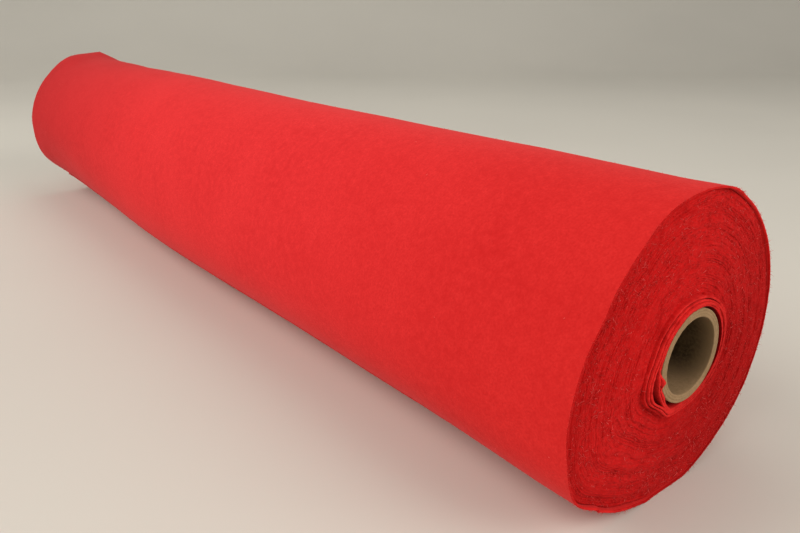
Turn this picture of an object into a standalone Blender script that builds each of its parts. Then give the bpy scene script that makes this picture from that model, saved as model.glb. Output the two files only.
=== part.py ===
"""Roll of felt wound on a cardboard tube, lying on its side.

Metres, +Z up.  The axis of the roll runs along X and the end with the pulled inner turns is at +X.
The origin is on the table, under the middle of the roll's box.  Angles are in degrees, from +Y
towards +Z, round the axis of the roll, or round the tube where the text says so.

Each piece is one closed surface made from rings of points that follow one another round its section.
"""

import math

import bpy
import numpy as np

# Felt
FELT_WIDTH = 0.914
FELT_THICKNESS = 0.0012
MEAN_RADIUS = 0.0888
FLAT_DEPTH = 0.0015

# Tube
TUBE_RADIUS = 0.0260
TUBE_WALL = 0.0046
TUBE_EDGE_SOFTENING = 0.0004
TUBE_LENGTH = 0.914
TUBE_STANDS_PROUD = 0.0053
TUBE_ABOVE_AXIS = 0.0029

# Space kept between the felt and the tube where they touch
CLEARANCE = 0.0003

# The section is an egg that leans towards -Y and sags at the bottom: waves round the mean radius,
# as shares of that radius.  It changes evenly from the near end to the far end.
# Columns: waves, near cosine, near sine, far cosine, far sine
SECTION = (
    (2, 0.013, 0.028, 0.010, 0.004),
    (3, -0.003, -0.028, 0.020, -0.031),
    (4, 0.000, 0.008, 0.004, -0.012),
)

# Where the felt's outer cut end lies along the roll, and the width of the step beside it
SEAM_ANGLE = -131.0
SEAM_STEP_ANGLE = 0.15

# Soft swells and hollows along the outside.  Along is the share of the length from the near end.
# Columns: along, reach along, angle, reach round, height
SWELLS = (
    (0.00, 0.16, -148.0, 34.0, 0.0024),
    (0.54, 0.26, -140.0, 50.0, 0.0022),
    (1.00, 0.38, -137.0, 55.0, -0.0090),
    (0.12, 0.12, 60.0, 60.0, 0.0007),
    (0.40, 0.16, 60.0, 60.0, -0.0009),
    (0.65, 0.10, 60.0, 50.0, 0.0009),
    (0.80, 0.06, 60.0, 50.0, -0.0013),
)

# How the outer turns' edge leaves its plane at each end: out along the axis and up off the roll,
# fading round the rim over the reach.
# Columns: angle, reach, out, lift
NEAR_RIM = (
    (73.0, 14.0, 0.0012, 0.0008),
    (25.0, 30.0, 0.0006, -0.0010),
    (150.0, 12.0, 0.0, -0.0014),
    (-132.0, 6.0, -0.0010, -0.0022),
    (-114.0, 26.0, 0.0006, -0.0022),
    (-80.0, 16.0, 0.0012, 0.0),
    (-54.0, 22.0, 0.0, -0.0009),
)
FAR_RIM = (
    (100.0, 170.0, 0.034, 0.0),
    (66.0, 26.0, 0.0, 0.0070),
    (102.0, 28.0, 0.0, 0.0024),
)
FAR_BOTTOM_SET_IN = 0.017
NEAR_LIFT_LENGTH = 0.03
FAR_LIFT_LENGTH = 0.07

# End faces: the outer turns stand past the rest, and the face bulges towards the tube
LIP_THICKNESS = 0.0024
LIP_OVERHANG = 0.0020
LIP_CREASE = 0.0003
NEAR_BULGE = 0.0020
NEAR_FACE_SHARES = (0.12, 0.34, 0.56, 0.78)
FAR_MOUTH_SET_IN = 0.003
FAR_FACE_SHARES = (0.25, 0.5, 0.75)

# Innermost turns, which stand out of the near face like a collar.  Where they have pulled away
# from the tube there is a gap, and out is how much further they stand out.  Angles are round the tube.
# Columns: angle, reach, gap, out
COLLAR_THICKNESS = 0.0026
COLLAR_FOOT = 0.0016
COLLAR_OUT = 0.0042
COLLAR = (
    (5.0, 95.0, 0.0052, 0.0007),
    (-112.0, 36.0, 0.0038, 0.0),
    (-172.0, 20.0, 0.0, 0.0022),
)
HUG_DEPTH = 0.070

# Pocket between the inner turns that pulled away, an arc round the tube
POCKET_ANGLES = (-169.0, -140.0)
POCKET_RADII = (0.0312, 0.0350)
POCKET_FOOT = 0.024

# How finely the surfaces are stepped
COLUMNS = 72
MIDDLE_STATIONS = 12
TUBE_SIDES = 56
POCKET_STEPS = 8
POCKET_END_STEPS = 5


def wave(angle, centre, reach):
    """A soft hump: one at the centre, nought from the reach outwards, round the circle."""
    away = (angle - centre + 180.0) % 360.0 - 180.0
    inside = np.abs(away) < reach
    return np.where(inside, 0.5 + 0.5 * np.cos(math.pi * away / reach), 0.0)


def hump(position, centre, reach):
    """The same hump along a line."""
    away = position - centre
    inside = np.abs(away) < reach
    return np.where(inside, 0.5 + 0.5 * np.cos(math.pi * away / reach), 0.0)


def ease(share):
    """Nought to one with level ends."""
    share = np.clip(share, 0.0, 1.0)
    return share * share * (3.0 - 2.0 * share)


def rim_offsets(rows, angle):
    """How far the rim goes out along the axis and up off the roll at each angle."""
    out = np.zeros_like(angle)
    lift = np.zeros_like(angle)
    for centre, reach, row_out, row_lift in rows:
        shape = wave(angle, centre, reach)
        out = out + row_out * shape
        lift = lift + row_lift * shape
    return out, lift


def section_radius(angle, turn, along):
    """The plain wound section: the egg, and one turn's thickness lost along the last turn."""
    share = np.ones_like(angle)
    for waves, near_cosine, near_sine, far_cosine, far_sine in SECTION:
        phase = np.radians(angle) * waves
        cosine = near_cosine + (far_cosine - near_cosine) * along
        sine = near_sine + (far_sine - near_sine) * along
        share = share + cosine * np.cos(phase) + sine * np.sin(phase)
    return MEAN_RADIUS * share + FELT_THICKNESS * (0.5 - turn)


def axis_height(along):
    """The height at which the section sinks into the table by the depth of its flat."""
    angle = np.linspace(-180.0, 180.0, 721)
    return -np.min(section_radius(angle, 0.5, along) * np.sin(np.radians(angle))) - FLAT_DEPTH


NEAR_HEIGHT = axis_height(0.0)
TUBE_HEIGHT = NEAR_HEIGHT + TUBE_ABOVE_AXIS


def grid_angles():
    """The columns: even steps from the seam, and one more just before the seam comes round."""
    turn = np.append(np.arange(COLUMNS) / COLUMNS, 1.0 - SEAM_STEP_ANGLE / 360.0)
    return SEAM_ANGLE + 360.0 * turn, turn


def ring(x, radius, angle, height):
    """Points round an axis at the height, which never go under the table."""
    direction = np.radians(angle)
    z = np.maximum(height + radius * np.sin(direction), 0.0)
    return np.stack([x + 0.0 * radius, radius * np.cos(direction), z], axis=1)


def stations():
    """Shares of the length from the near rim: close together at the ends, even between."""
    near = (0.0, 0.006, 0.016, 0.033, 0.06)
    far = (0.90, 0.93, 0.955, 0.975, 0.99, 1.0)
    middle = np.linspace(near[-1], far[0], MIDDLE_STATIONS + 2)[1:-1]
    return near + tuple(middle) + far


def outer_rings(angle, turn):
    """Rings along the outside, from the near rim to the far rim."""
    near_out, near_lift = rim_offsets(NEAR_RIM, angle)
    far_out, far_lift = rim_offsets(FAR_RIM, angle)
    near_x = near_out
    far_x = FAR_BOTTOM_SET_IN - FELT_WIDTH - far_out
    rings = []
    for share in stations():
        radius = section_radius(angle, turn, share)
        for along, along_reach, centre, reach, height in SWELLS:
            radius = radius + height * hump(share, along, along_reach) * wave(angle, centre, reach)
        radius = radius + near_lift * ease(1.0 - share * FELT_WIDTH / NEAR_LIFT_LENGTH)
        radius = radius + far_lift * ease(1.0 - (1.0 - share) * FELT_WIDTH / FAR_LIFT_LENGTH)
        rings.append(ring(near_x + (far_x - near_x) * share, radius, angle, axis_height(share)))
    return rings


def part_way(first, second, share):
    """A ring part of the way from one ring to another."""
    return first + (second - first) * share


def inset(points, depth, x):
    """A near ring moved towards the roll's axis by the depth, at another place along the axis."""
    across = points[:, 1]
    up = points[:, 2] - NEAR_HEIGHT
    keep = 1.0 - depth / np.hypot(across, up)
    return np.stack([x + 0.0 * across, across * keep, NEAR_HEIGHT + up * keep], axis=1)


def near_face(rim, angle):
    """Rings from the near rim in over the lip and the face, up the collar, to the mouth of the hole."""
    gap = np.full_like(angle, CLEARANCE)
    collar_x = np.full_like(angle, COLLAR_OUT)
    for centre, reach, row_gap, row_out in COLLAR:
        shape = wave(angle, centre, reach)
        gap = gap + row_gap * shape
        collar_x = collar_x + row_out * shape
    mouth_radius = TUBE_RADIUS + gap
    face_x = -LIP_OVERHANG
    lip_inner = inset(rim, LIP_THICKNESS, rim[:, 0])
    lip_foot = inset(rim, LIP_THICKNESS + LIP_CREASE, face_x)
    collar_radius = mouth_radius + COLLAR_THICKNESS
    foot = ring(face_x + NEAR_BULGE, collar_radius + COLLAR_FOOT, angle, TUBE_HEIGHT)
    rings = [lip_inner, lip_foot]
    for share in NEAR_FACE_SHARES:
        face = part_way(lip_foot, foot, share)
        face[:, 0] = face_x + NEAR_BULGE * ease(share)
        rings.append(face)
    rings.append(foot)
    rings.append(ring(collar_x, collar_radius, angle, TUBE_HEIGHT))
    mouth = ring(collar_x, mouth_radius, angle, TUBE_HEIGHT)
    rings.append(mouth)
    return rings, mouth


def far_face(rim, angle):
    """Rings from the mouth of the hole out over the far face to the far rim."""
    snug_radius = np.full_like(angle, TUBE_RADIUS + CLEARANCE)
    mouth = ring(FAR_MOUTH_SET_IN - FELT_WIDTH, snug_radius, angle, TUBE_HEIGHT)
    rings = [mouth]
    for share in FAR_FACE_SHARES:
        face = part_way(mouth, rim, share)
        face[:, 0] = mouth[:, 0] + (rim[:, 0] - mouth[:, 0]) * share * share
        rings.append(face)
    return rings


def bore_rings(mouth, far_mouth, angle):
    """Rings down the hole: the near mouth closes on the tube over the hug depth."""
    snug = ring(-HUG_DEPTH, np.full_like(angle, TUBE_RADIUS + CLEARANCE), angle, TUBE_HEIGHT)
    rings = []
    for share in (0.25, 0.6):
        narrowing = part_way(mouth, snug, ease(share))
        narrowing[:, 0] = mouth[:, 0] + (snug[:, 0] - mouth[:, 0]) * share
        rings.append(narrowing)
    rings.append(snug)
    for share in (1.0 / 3.0, 2.0 / 3.0):
        rings.append(part_way(snug, far_mouth, share))
    return rings


def ring_mesh(name, rings):
    """A closed surface through the rings in turn, the last one joined to the first."""
    count = len(rings)
    sides = len(rings[0])
    points = np.concatenate(rings)
    faces = []
    for row in range(count):
        here = row * sides
        after = (row + 1) % count * sides
        for column in range(sides):
            beside = (column + 1) % sides
            faces.append((here + column, after + column, after + beside, here + beside))
    mesh = bpy.data.meshes.new(name)
    mesh.from_pydata(points.tolist(), [], faces)
    mesh.validate()
    return mesh


def material(name, colour, roughness):
    """A matt material with a linear colour."""
    made = bpy.data.materials.new(name)
    made.use_nodes = True
    shader = made.node_tree.nodes["Principled BSDF"]
    shader.inputs["Base Color"].default_value = (*colour, 1.0)
    shader.inputs["Roughness"].default_value = roughness
    shader.inputs["Metallic"].default_value = 0.0
    made.diffuse_color = (*colour, 1.0)
    return made


def add_object(name, mesh, surface, sharp_angle=35.0):
    """The piece, shaded smooth but for its sharp edges."""
    mesh.materials.append(surface)
    made = bpy.data.objects.new(name, mesh)
    bpy.context.scene.collection.objects.link(made)
    mesh.shade_smooth()
    mesh.set_sharp_from_angle(angle=math.radians(sharp_angle))
    return made


def felt_rings():
    """All rings of the felt, round its section: near mouth, near face, outside, far face, hole."""
    angle, turn = grid_angles()
    outside = outer_rings(angle, turn)
    inwards, mouth = near_face(outside[0], angle)
    outwards = far_face(outside[-1], angle)
    bore = bore_rings(mouth, outwards[0], angle)
    return list(reversed(inwards)) + outside + list(reversed(outwards)) + list(reversed(bore))


def tube_rings():
    """Rings of the tube, with its cut edges softened."""
    angle = np.arange(TUBE_SIDES) * 360.0 / TUBE_SIDES
    inner = TUBE_RADIUS - TUBE_WALL
    soft = TUBE_EDGE_SOFTENING
    near = TUBE_STANDS_PROUD
    far = TUBE_STANDS_PROUD - TUBE_LENGTH
    profile = (
        (near, inner + soft),
        (near, TUBE_RADIUS - soft),
        (near - soft, TUBE_RADIUS),
        (far + soft, TUBE_RADIUS),
        (far, TUBE_RADIUS - soft),
        (far, inner + soft),
        (far + soft, inner),
        (near - soft, inner),
    )
    return [ring(x, np.full_like(angle, radius), angle, TUBE_HEIGHT) for x, radius in profile]


def box_middle(rings):
    """The middle of the box round some rings, in plan."""
    points = np.concatenate(rings)
    middle = 0.5 * (points.min(axis=0) + points.max(axis=0))
    return np.array([middle[0], middle[1], 0.0])


def arc(radius, start, stop, steps, middle=(0.0, 0.0)):
    """Points along an arc round a middle, from one angle to another, both included."""
    points = []
    for step in range(steps + 1):
        direction = start + (stop - start) * step / steps
        points.append((middle[0] + radius * math.cos(direction), middle[1] + radius * math.sin(direction)))
    return points


def pocket_outline():
    """A short curved slot round the tube with round ends: two arcs and two half circles."""
    start, stop = (math.radians(angle) for angle in POCKET_ANGLES)
    inner, outer = POCKET_RADII
    centre_radius = 0.5 * (inner + outer)
    end_radius = 0.5 * (outer - inner)
    stop_middle = (centre_radius * math.cos(stop), centre_radius * math.sin(stop))
    start_middle = (centre_radius * math.cos(start), centre_radius * math.sin(start))
    stop_end = arc(end_radius, stop, stop + math.pi, POCKET_END_STEPS, stop_middle)
    start_end = arc(end_radius, start + math.pi, start + math.tau, POCKET_END_STEPS, start_middle)
    outline = arc(outer, start, stop, POCKET_STEPS)
    outline += stop_end[1:-1]
    outline += arc(inner, stop, start, POCKET_STEPS)
    outline += start_end[1:-1]
    return outline


def pocket_cutter(origin):
    """The slot's outline as a closed prism along X, from the pocket's foot to past the near end."""
    outline = pocket_outline()
    count = len(outline)
    points = []
    for x in (-POCKET_FOOT, FELT_WIDTH * 0.03):
        for across, up in outline:
            points.append((x - origin[0], across - origin[1], TUBE_HEIGHT + up))
    sides = [(k, (k + 1) % count, count + (k + 1) % count, count + k) for k in range(count)]
    ends = [tuple(reversed(range(count))), tuple(range(count, 2 * count))]
    mesh = bpy.data.meshes.new("pocket")
    mesh.from_pydata(points, [], sides + ends)
    made = bpy.data.objects.new("pocket_cutter", mesh)
    bpy.context.scene.collection.objects.link(made)
    made.hide_render = True
    made.display_type = "WIRE"
    return made


def cut(target, cutter):
    """Takes the cutter's shape out of the target."""
    boolean = target.modifiers.new("pocket", "BOOLEAN")
    boolean.operation = "DIFFERENCE"
    boolean.solver = "EXACT"
    boolean.object = cutter


def clear_scene():
    for existing in list(bpy.data.objects):
        bpy.data.objects.remove(existing, do_unlink=True)


def main():
    clear_scene()
    felt = felt_rings()
    tube = tube_rings()
    origin = box_middle(felt + tube)
    felt_surface = material("red_wool_felt", (0.78, 0.045, 0.040), 0.95)
    tube_surface = material("kraft_paperboard", (0.33, 0.25, 0.15), 0.85)
    felt_mesh = ring_mesh("felt_roll", [points - origin for points in felt])
    tube_mesh = ring_mesh("core_tube", [points - origin for points in tube])
    roll = add_object("felt_roll", felt_mesh, felt_surface)
    add_object("core_tube", tube_mesh, tube_surface)
    cut(roll, pocket_cutter(origin))


main()
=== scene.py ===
"""The looks of a roll of red felt on a cardboard tube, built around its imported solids.

Laid out as an add-on: the property groups hold the sizes and colours, each operator makes one
piece or group, and the panel lists the operators.  Run as a script, it makes everything once.

Metres and degrees.  Angles run from +Y towards +Z, round the roll's axis, or round the tube where
the text says so.  Along is the share of the felt's width from the near end, which is at +X.
"""

import math

import bpy
import numpy as np
from bpy.props import FloatProperty, FloatVectorProperty, IntProperty, PointerProperty
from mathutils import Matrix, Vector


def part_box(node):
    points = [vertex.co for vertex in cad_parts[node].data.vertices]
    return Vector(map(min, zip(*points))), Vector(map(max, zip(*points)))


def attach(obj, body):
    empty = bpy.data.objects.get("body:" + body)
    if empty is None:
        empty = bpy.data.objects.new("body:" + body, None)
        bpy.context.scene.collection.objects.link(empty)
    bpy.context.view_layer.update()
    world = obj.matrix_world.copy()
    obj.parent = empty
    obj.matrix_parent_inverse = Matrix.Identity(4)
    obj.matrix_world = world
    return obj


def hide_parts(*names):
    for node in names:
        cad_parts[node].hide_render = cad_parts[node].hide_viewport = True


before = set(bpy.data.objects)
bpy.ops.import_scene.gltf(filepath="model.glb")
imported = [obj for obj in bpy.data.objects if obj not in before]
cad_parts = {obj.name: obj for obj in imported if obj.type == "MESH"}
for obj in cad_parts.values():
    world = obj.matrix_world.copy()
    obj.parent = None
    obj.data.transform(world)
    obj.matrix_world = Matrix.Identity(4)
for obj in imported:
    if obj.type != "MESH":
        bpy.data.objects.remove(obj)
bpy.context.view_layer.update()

bl_info = {
    "name": "Roll of felt",
    "version": (1, 0, 0),
    "blender": (4, 5, 0),
    "location": "3D View > Sidebar > Felt roll",
    "description": "Builds the wound felt, its cut edges, the tube and the stage",
    "category": "Add Mesh",
}

TUBE_LOW, TUBE_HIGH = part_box("core_tube")
MM = 0.001

# The section is an egg that leans towards -Y and sags: waves round the mean radius, as shares of
# it, which change evenly from the near end to the far end.
# Columns: waves, near cosine, near sine, far cosine, far sine
SECTION = (
    (2, 0.013, 0.028, 0.010, 0.004),
    (3, -0.003, -0.028, 0.020, -0.031),
    (4, 0.000, 0.008, 0.004, -0.012),
)

# Soft swells and hollows along the outside.
# Columns: along, reach along, angle, reach round, height
SWELLS = (
    (0.00, 0.16, -150.0, 32.0, 0.0022),
    (0.54, 0.26, -140.0, 50.0, 0.0022),
    (1.00, 0.38, -137.0, 55.0, -0.0090),
    (1.00, 0.10, -158.0, 26.0, 0.0040),
    (0.12, 0.12, 60.0, 60.0, 0.0007),
    (0.40, 0.16, 60.0, 60.0, -0.0009),
    (0.65, 0.10, 60.0, 50.0, 0.0009),
    (0.80, 0.06, 60.0, 50.0, -0.0013),
)

# How the rims leave their plane: out along the axis and up off the roll.
# Columns: angle, reach, out, lift
NEAR_RIM = (
    (73.0, 14.0, 0.0012, 0.0008),
    (25.0, 30.0, 0.0006, -0.0010),
    (108.0, 18.0, -0.0010, 0.0),
    (160.0, 42.0, -0.0008, 0.0),
    (-160.0, 18.0, 0.0018, 0.0),
    (150.0, 12.0, 0.0, -0.0014),
    (-132.0, 14.0, -0.0002, -0.0020),
    (-114.0, 26.0, 0.0006, -0.0022),
    (-80.0, 16.0, 0.0002, 0.0),
    (-54.0, 22.0, 0.0, -0.0009),
)
FAR_RIM = (
    (100.0, 170.0, 0.034, 0.0),
    (70.0, 30.0, 0.0, 0.0036),
    (102.0, 28.0, 0.0, 0.0034),
)
FAR_CUSP = (79.0, 12.0, 0.0034)

# Places round the near end, each an angle and how far the place reaches on both sides of it.
PULLED_AWAY = (2.0, 95.0)  # where the inner turns are off the tube
CORNER = (-113.0, 32.0)  # the fold of the innermost turn
CORNER_ROOM = (-112.0, 36.0)  # the room that the turns outside leave for it
CUT_END = (-156.0, 30.0)  # the slot beside the inner cut end
POCKET = (-156.0, 34.0)
POCKET_SHADE = (-156.0, 36.0)
FLAP_TIP = (-167.0, 15.0)
FLAP_LEAN = (-167.0, 18.0)
FLAP_FOOT = (-145.0, 20.0)
PARTED = (-160.0, 55.0)  # where the second turn stands clear of the next
SQUEEZED = (-150.0, 60.0)  # where the turns waver most
SHADED = (-170.0, 115.0)  # where the outer turns of the face get painted shade, darker towards the rim
PROUD_LIP = (-132.0, 50.0)
FLUSH_LIP = (-40.0, 75.0)
HIGHLIGHT_TOP = (58.0, 50.0)  # where the outer turn's cut edge gets a painted highlight
HIGHLIGHT_LOW = (-128.0, 34.0)
RIM_SIDE_SHADE = (-55.0, 85.0)  # where the cut edges get painted shade, darker on the right and lower right
FACE_SIDE_SHADE = (-30.0, 130.0)
BORE_LIGHT = (-88.0, 65.0)  # where daylight reaches the tube's inside

# How far the inner turns stand out of the near rim's plane, from the inner cut end outwards.
# Columns: turn, millimetres
COLLAR_RISE = (
    (0.00, 4.2), (0.10, 4.2), (0.35, 4.7), (0.60, 4.3), (0.75, 5.1), (0.85, 5.6), (0.98, 5.4),
    (1.10, 4.6), (1.35, 4.6), (1.60, 4.6), (1.75, 5.2), (1.98, 5.0), (2.12, 4.4), (2.35, 4.7),
    (2.60, 4.8), (2.75, 4.5), (3.00, 4.3), (3.35, 4.4), (3.60, 4.5), (3.75, 3.3), (4.00, 2.6),
    (4.25, 2.4), (4.50, 3.2), (4.70, 2.0),
)

# The outer turn at its cut edge, in millimetres: how deep each point lies, and how far out.
LIP_DEPTHS = (0.06, 0.20, 0.42, 0.64, 0.86, 1.06, 1.18, 1.25)
LIP_OUTS = (0.08, 0.17, 0.22, 0.22, 0.20, 0.12, -0.10, -0.60)

# Where the rings of the outer turns' inner side lie, far to near, as shares of the length.
INSIDE_STATIONS = (0.996, 0.988, 0.96, 0.8, 0.6, 0.4, 0.2, 0.04, 0.012, 0.004)

# The profile of one inner turn, up one side, over its cut edge and down the other: the share of
# its thickness, and how far each point lies below the edge in millimetres.
EDGE_SIDES = (0.0,) * 5 + (0.02, 0.14, 0.36, 0.64, 0.86, 0.98) + (1.0,) * 5
EDGE_FALLS = (45.0, 26.0, 12.0, 4.0, 0.9, 0.28, 0.06, 0.0)

# Lumps of the cut edges.  Columns: lumps in one turn, share of the stray height
LUMPS = ((6, 1.0), (24, 0.8), (90, 0.9))

# The tube's cut end from the outside in.
# Columns: depth and how far it lies back, both in millimetres, and the share of a ply line
TUBE_END = (
    (0.00, 0.40, 0.0), (0.12, 0.12, 0.0), (0.40, 0.00, 0.0), (1.42, 0.00, 0.0),
    (1.50, 0.00, 1.0), (1.58, 0.00, 0.0), (3.02, 0.00, 0.0), (3.08, 0.00, 0.5),
    (3.14, 0.00, 0.0), (4.20, 0.00, 0.0), (4.48, 0.12, 0.0), (4.60, 0.40, 0.0),
)
TUBE_MOUTH = (3.0, 6.0, 9.0, 12.0, 16.0, 22.0)  # rings close to the mouth, in millimetres

LIGHT_TINT = "#fffaf4"
LIGHT_TARGET = (0.1, 0.0, 0.05)
# Columns: name, place, size, power in watts
LIGHTS = (
    ("key", (-1.3, -1.9, 1.9), 1.8, 40.0),
    ("front", (0.0, -2.2, 1.2), 1.6, 12.0),
    ("right", (2.1, 0.8, 1.2), 1.5, 29.0),
    ("top", (-0.5, 0.5, 2.0), 1.6, 6.5),
    ("camera_side", (0.9, -1.0, 1.3), 1.0, 4.0),
)


def linear(code):
    """A colour written as sRGB hex, as the linear red, green and blue that the shaders take."""
    shares = [int(code[place : place + 2], 16) / 255.0 for place in (1, 3, 5)]
    return tuple(s / 12.92 if s <= 0.04045 else ((s + 0.055) / 1.055) ** 2.4 for s in shares)


def length(name, description, default):
    """A size in metres for a property group."""
    return FloatProperty(
        name=name, description=description, default=default, unit="LENGTH", precision=5
    )


def share(name, description, default):
    """A plain number for a property group."""
    return FloatProperty(name=name, description=description, default=default, precision=4)


def colour(name, description, code):
    """A colour for a property group, given as sRGB hex."""
    return FloatVectorProperty(
        name=name, description=description, default=linear(code), subtype="COLOR", size=3
    )


def count(name, description, default):
    """A whole number for a property group."""
    return IntProperty(name=name, description=description, default=default, min=1)


class RollSizes(bpy.types.PropertyGroup):
    """The wound felt."""

    width: length("Width", "Width of the felt, the length of the roll", 0.914)
    thickness: length("Thickness", "Thickness of one turn", 0.0012)
    radius: length("Radius", "Mean radius of the roll", 0.0888)
    flat: length("Flat", "How far the roll's own weight flattens it", 0.0015)
    seam: share("Seam", "Angle of the outer cut end, in degrees", -131.0)
    near: length("Near end", "Where the near rim's plane is", TUBE_HIGH.x - 0.0053)
    across: length("Across", "Where the axis is, along Y", (TUBE_LOW.y + TUBE_HIGH.y) / 2)
    drop: length("Drop", "How far the roll's axis lies below the tube's", 0.0029)
    lip: length("Lip", "Thickness of the outer turn that stands past the rest", 0.00125)
    overhang: length("Overhang", "How far that turn stands past the rest", 0.0017)
    flush: share("Flush", "Share of the overhang that is left at the lower right", 0.15)
    bulge: length("Bulge", "How far the near end bulges towards the tube", 0.0020)
    far_low: length("Far underside", "How far the far rim is set in at the bottom", 0.017)
    near_lift: length("Near lift", "Length over which the near rim's lift fades", 0.03)
    far_lift: length("Far lift", "Length over which the far rim's lift fades", 0.06)
    far_mouth: length("Far mouth", "How far the far end is set in at the tube", 0.003)
    ripple: length("Ripple", "Height of the soft ripples in the outer turns", 0.00030)
    columns: count("Columns", "Steps round the outside", 288)
    stations: count("Stations", "Steps along the outside", 110)


class FaceSizes(bpy.types.PropertyGroup):
    """The cut edges of the turns, which make the end faces."""

    turns: count("Turns", "Turns between the lip and the inner turns", 47)
    samples: count("Samples", "Points across one turn's edge", 5)
    columns: count("Columns", "Steps round the near face", 392)
    far_samples: count("Far samples", "Points across one turn's edge at the far end", 4)
    far_columns: count("Far columns", "Steps round the far face", 280)
    crease: length("Crease", "Depth of the gap between two turns", 0.00036)
    band: length("Band", "How far groups of turns stand out or in", 0.00055)
    stray: length("Stray", "How far each turn stands out or in by itself", 0.00026)
    grain: length("Grain", "Height of the tufts on the cut edges", 0.00012)
    gutter: length("Gutter", "Depth of the groove just inside the outer turn", 0.0008)
    squeeze: share("Squeeze", "How far the turns waver from even, in turns", 0.9)


class InnerSizes(bpy.types.PropertyGroup):
    """The innermost turns, which stand out of the near end like a collar."""

    start: share("Start", "Angle of the felt's inner cut end, round the tube", -180.0)
    turns: share("Turns", "Length of the inner turns, in turns", 4.7)
    hug: length("Hug", "Depth at which they close on the tube", 0.070)
    gap: length("Gap", "Widest gap between them and the tube", 0.0036)
    slot: length("Slot", "Gap beside the inner cut end", 0.0002)
    pocket: length("Pocket", "Width of the pocket where the turns pulled away", 0.0044)
    corner: length("Corner", "How far the innermost turn is folded out to a corner", 0.0032)
    flap: length("Flap", "How far the corner of the free end stands out past the rest", 0.0030)
    step: count("Steps", "Steps in one turn", 160)


class TubeSizes(bpy.types.PropertyGroup):
    """The cardboard tube."""

    radius: length("Radius", "Outer radius", (TUBE_HIGH.z - TUBE_LOW.z) / 2)
    wall: length("Wall", "Thickness of the wall", 0.0046)
    near: length("Near end", "Where the near end is", TUBE_HIGH.x)
    far: length("Far end", "Where the far end is", TUBE_LOW.x)
    height: length("Height", "Height of the axis", (TUBE_LOW.z + TUBE_HIGH.z) / 2)
    clearance: length("Clearance", "Space between the tube and the felt", 0.0003)
    ply: length("Ply", "Depth of the line between two plies at the ends", 0.00013)
    lap: length("Lap", "Half the distance between two lap lines along the tube", 0.070)
    sides: count("Sides", "Steps round the tube", 144)


class FibreSizes(bpy.types.PropertyGroup):
    """Loose fibres."""

    near: count("Near", "Fibres on the near end", 5500)
    pale: count("Pale", "Paler, longer fibres on the near end", 600)
    specks: count("Specks", "Pale fibres on the outside", 70)
    far: count("Far", "Fibres on the far end", 2400)
    nap: count("Nap", "Fibres standing off the outside", 3600)
    rim: count("Rim", "Fibres along the cut rims", 600)
    width: length("Width", "Drawn width of a fibre", 0.00028)
    short: length("Short", "Length of a short fibre", 0.0016)


class Looks(bpy.types.PropertyGroup):
    """Colours."""

    face: colour("Face", "Outside of the felt", "#f03537")
    face_deep: colour("Face, deep", "Outside of the felt where it is thinner", "#d82023")
    edge: colour("Edge", "Cut edges of the turns", "#d21b1b")
    # Edge, deep is painted shade between the turns, and also the darker random streaks and patches.
    edge_deep: colour("Edge, deep", "Between the cut edges", "#ab0a0a")
    # Painted shade, the darkest, in the slot and pocket where the turns have pulled apart.
    edge_cavity_shade: colour("Edge, dark", "Where the turns have pulled apart", "#5e0505")
    # Painted highlight on the tops of the cut edges and on the lip, where light falls.
    edge_highlight: colour("Edge, clean", "Cut edges that are still smooth and bright", "#ec2f2c")
    edge_pale: colour("Edge, pale", "Frayed tufts on the cut edges", "#dc4644")
    sheen: colour("Sheen", "Light in the nap", "#ff8a8a")
    # Painted shade, multiplied in on the right of the cut faces where the attribute lean is high.
    side_shade_tint: colour("Lean tint", "The cut pile where it leans away from the eye", "#dad0d0")
    # Painted shade: the outside darker towards the near end.
    near_shade_tint: colour("Near tint", "What the handled near end loses in brightness", "#f1dccb")
    # Painted shade and painted sheen: the outside darker and pinker towards the far end.
    far_shade_tint: colour("Far tint", "What the dustier far end loses in brightness", "#d6bcc6")
    fibre: colour("Fibre", "Loose fibres", "#dd3a37")
    fibre_pale: colour("Pale fibre", "Undyed fibres", "#ee6c68")
    paper: colour("Paper", "Kraft paperboard", "#a28360")
    paper_deep: colour("Paper, deep", "Darker pulp fibres", "#7e6845")
    # The inner ply, darkened as painted shade in the bore.
    paper_inside_shade: colour("Paper, inside", "The inner ply", "#443320")
    floor: colour("Floor", "The table and backdrop", "#dad7ce")


class StageSizes(bpy.types.PropertyGroup):
    """Camera, lights and floor."""

    camera: FloatVectorProperty(
        name="Camera",
        description="Where the camera is",
        default=(0.63912, -0.33146, 0.26431),
        subtype="TRANSLATION",
    )
    pitch: share("Pitch", "How far the camera looks down, in degrees", 20.61)
    turn: share("Turn", "How far the camera is turned left of +Y, in degrees", 51.145)
    lens: share("Lens", "Focal length on a 36 mm sensor, in millimetres", 33.37)


def swell(away, reach):
    """A soft hump: one where away is nought, nothing from the reach outwards."""
    return np.where(np.abs(away) < reach, 0.5 + 0.5 * np.cos(np.pi * away / reach), 0.0)


def turned(angle, centre):
    """How far an angle lies from a centre round the circle, from -180 to 180 degrees."""
    return (angle - centre + 180.0) % 360.0 - 180.0


def wave(angle, centre, reach):
    """The soft hump round the circle."""
    return swell(turned(angle, centre), reach)


def peak(angle, centre, reach):
    """A sharp corner: one at the centre, falling off on both sides, round the circle."""
    return np.clip(1.0 - np.abs(turned(angle, centre)) / reach, 0.0, 1.0) ** 1.6


def ease(part):
    """Nought to one with level ends."""
    part = np.clip(part, 0.0, 1.0)
    return part * part * (3.0 - 2.0 * part)


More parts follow.
